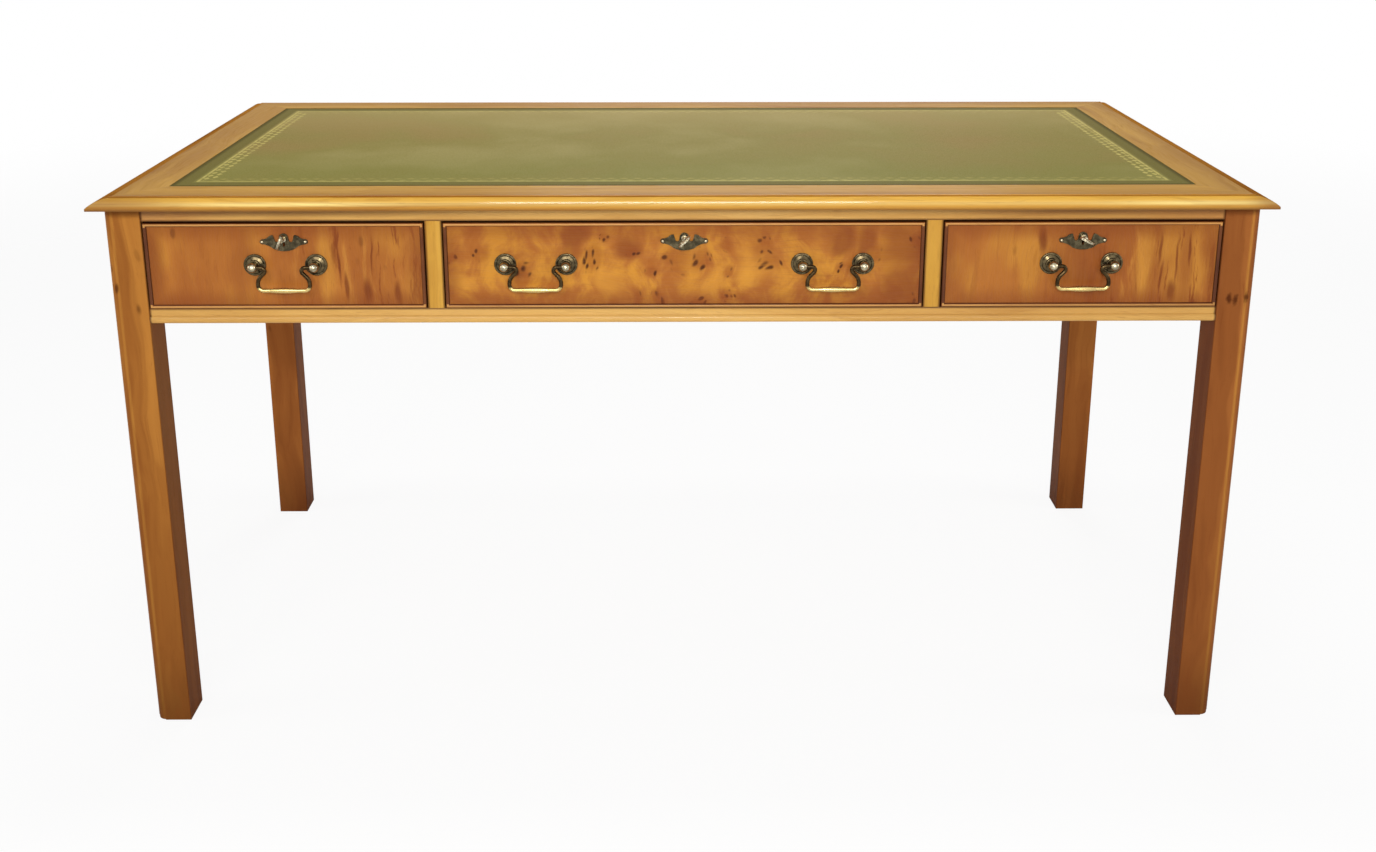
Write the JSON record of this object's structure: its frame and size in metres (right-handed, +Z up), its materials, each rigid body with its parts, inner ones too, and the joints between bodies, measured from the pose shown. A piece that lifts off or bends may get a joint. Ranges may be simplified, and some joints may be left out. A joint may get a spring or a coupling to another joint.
{
  "type": "writing table",
  "caption": "Leather-topped yew writing table with frieze drawers that slide on runners, swan-neck bail handles, working till locks and straight square legs.",
  "frame": {"origin": "on the floor under the middle of the top", "axes": "+X along the length to the sitter's right, +Y from the drawers to the back, +Z up"},
  "size_m": [1.524, 0.7681, 0.762],
  "materials": {
    "yew": "polished yew veneer and solid",
    "lining": "plain oak, waxed",
    "leather": "green hide, gilt tooled",
    "brass": "aged brass",
    "steel": "dull steel"
  },
  "bodies": {
    "carcass": {"top_panel": "yew", "top_moulding_front": "yew", "top_moulding_back": "yew", "top_moulding_left": "yew", "top_moulding_right": "yew", "crossbanding": "yew", "leather_inset": "leather", "leg_front_left": "yew", "leg_front_right": "yew", "leg_back_left": "yew", "leg_back_right": "yew", "upper_front_rail": "yew", "lower_front_rail": "yew", "muntin_left": "yew", "muntin_right": "yew", "side_apron_left": "yew", "side_apron_right": "yew", "back_apron": "yew", "apron_beads": "yew", "drawer_runners": "lining", "drawer_kickers": "lining", "drawer_stops": "lining", "top_screws": "steel"},
    "left_drawer": {"left_drawer_front": "yew", "left_drawer_beads": "yew", "left_drawer_sides": "lining", "left_drawer_back": "lining", "left_drawer_bottom": "lining", "left_lock_case": "brass", "left_escutcheon": "brass", "left_handle_roses": "brass", "left_handle_posts": "brass"},
    "centre_drawer": {"centre_drawer_front": "yew", "centre_drawer_beads": "yew", "centre_drawer_sides": "lining", "centre_drawer_back": "lining", "centre_drawer_bottom": "lining", "centre_lock_case": "brass", "centre_escutcheon": "brass", "centre_handle_roses": "brass", "centre_handle_posts": "brass"},
    "right_drawer": {"right_drawer_front": "yew", "right_drawer_beads": "yew", "right_drawer_sides": "lining", "right_drawer_back": "lining", "right_drawer_bottom": "lining", "right_lock_case": "brass", "right_escutcheon": "brass", "right_handle_roses": "brass", "right_handle_posts": "brass"},
    "left_bail": {"left_bail": "brass"},
    "centre_left_bail": {"centre_left_bail": "brass"},
    "centre_right_bail": {"centre_right_bail": "brass"},
    "right_bail": {"right_bail": "brass"},
    "left_key": {"left_key": "steel"},
    "left_lock_bolt": {"left_lock_bolt": "steel"},
    "centre_key": {"centre_key": "steel"},
    "centre_lock_bolt": {"centre_lock_bolt": "steel"},
    "right_key": {"right_key": "steel"},
    "right_lock_bolt": {"right_lock_bolt": "steel"}
  },
  "joints": [
    {"name": "left_drawer_slide", "type": "slide", "parent": "carcass", "child": "left_drawer", "axis": [0, -1, 0], "range_m": [0, 0.38]},
    {"name": "centre_drawer_slide", "type": "slide", "parent": "carcass", "child": "centre_drawer", "axis": [0, -1, 0], "range_m": [0, 0.38]},
    {"name": "right_drawer_slide", "type": "slide", "parent": "carcass", "child": "right_drawer", "axis": [0, -1, 0], "range_m": [0, 0.38]},
    {"name": "left_bail_swing", "type": "hinge", "parent": "left_drawer", "child": "left_bail", "pos_m": [-0.51775, -0.3745, 0.67095], "axis": [-1, 0, 0], "range_deg": [-18, 120]},
    {"name": "centre_left_bail_swing", "type": "hinge", "parent": "centre_drawer", "child": "centre_left_bail", "pos_m": [-0.193, -0.3745, 0.67095], "axis": [-1, 0, 0], "range_deg": [-18, 120]},
    {"name": "centre_right_bail_swing", "type": "hinge", "parent": "centre_drawer", "child": "centre_right_bail", "pos_m": [0.193, -0.3745, 0.67095], "axis": [-1, 0, 0], "range_deg": [-18, 120]},
    {"name": "right_bail_swing", "type": "hinge", "parent": "right_drawer", "child": "right_bail", "pos_m": [0.51775, -0.3745, 0.67095], "axis": [-1, 0, 0], "range_deg": [-18, 120]},
    {"name": "left_key_turn", "type": "hinge", "parent": "left_drawer", "child": "left_key", "pos_m": [-0.51775, -0.3595, 0.7063], "axis": [0, 1, 0], "range_deg": [-23, 157]},
    {"name": "left_lock_bolt_slide", "type": "slide", "parent": "left_drawer", "child": "left_lock_bolt", "axis": [0, 0, 1], "range_m": [-0.0009, 0.00602]},
    {"name": "centre_key_turn", "type": "hinge", "parent": "centre_drawer", "child": "centre_key", "pos_m": [0, -0.3595, 0.7063], "axis": [0, 1, 0], "range_deg": [-45, 135]},
    {"name": "centre_lock_bolt_slide", "type": "slide", "parent": "centre_drawer", "child": "centre_lock_bolt", "axis": [0, 0, 1], "range_m": [-0.00202, 0.00602]},
    {"name": "right_key_turn", "type": "hinge", "parent": "right_drawer", "child": "right_key", "pos_m": [0.51775, -0.3595, 0.7063], "axis": [0, -1, 0], "range_deg": [-63, 117]},
    {"name": "right_lock_bolt_slide", "type": "slide", "parent": "right_drawer", "child": "right_lock_bolt", "axis": [0, 0, 1], "range_m": [-0.00325, 0.00602]}
  ],
  "couplings": [
    {"joint": "left_lock_bolt_slide", "follows": "left_key_turn", "m_per_rad": 0.0021896},
    {"joint": "centre_lock_bolt_slide", "follows": "centre_key_turn", "m_per_rad": 0.0025465},
    {"joint": "right_lock_bolt_slide", "follows": "right_key_turn", "m_per_rad": 0.0029382}
  ]
}
